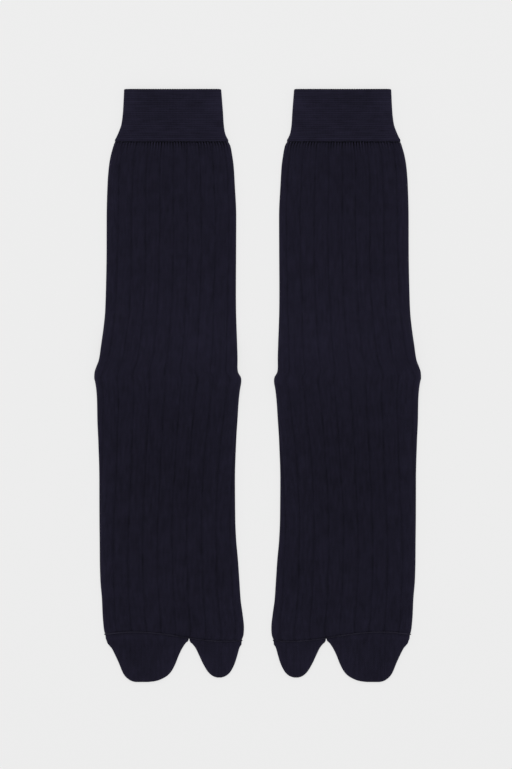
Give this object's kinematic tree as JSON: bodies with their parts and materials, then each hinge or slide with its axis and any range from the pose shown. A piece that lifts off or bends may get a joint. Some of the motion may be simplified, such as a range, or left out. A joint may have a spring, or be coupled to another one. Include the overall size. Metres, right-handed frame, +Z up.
{
  "type": "pair of tabi socks",
  "caption": "Pair of split-toe knitted socks with wide ribs and turned elastic cuffs, laid flat side by side with the instep up.",
  "frame": {"origin": "middle of the pair on the surface the socks lie on, halfway between the cuff tops and the toe tips", "axes": "+Z up from the surface, +Y from the toes to the cuffs, +X towards the left foot's sock"},
  "size_m": [0.2174, 0.3956, 0.0063],
  "materials": {
    "welt_knit": "matt navy elastic welt, cotton with elastane, fine cross ribs",
    "ribbed_knit": "matt navy cotton knit in wide ribs with a faint fuzz",
    "plain_knit": "matt navy plain cotton knit with a faint fuzz"
  },
  "bodies": {
    "root": {"right_cuff": "welt_knit", "right_leg": "ribbed_knit", "right_heel": "plain_knit", "right_foot": "ribbed_knit", "right_toes": "plain_knit", "right_big_toe": "plain_knit", "left_cuff": "welt_knit", "left_leg": "ribbed_knit", "left_heel": "plain_knit", "left_foot": "ribbed_knit", "left_toes": "plain_knit", "left_big_toe": "plain_knit"}
  },
  "joints": []
}
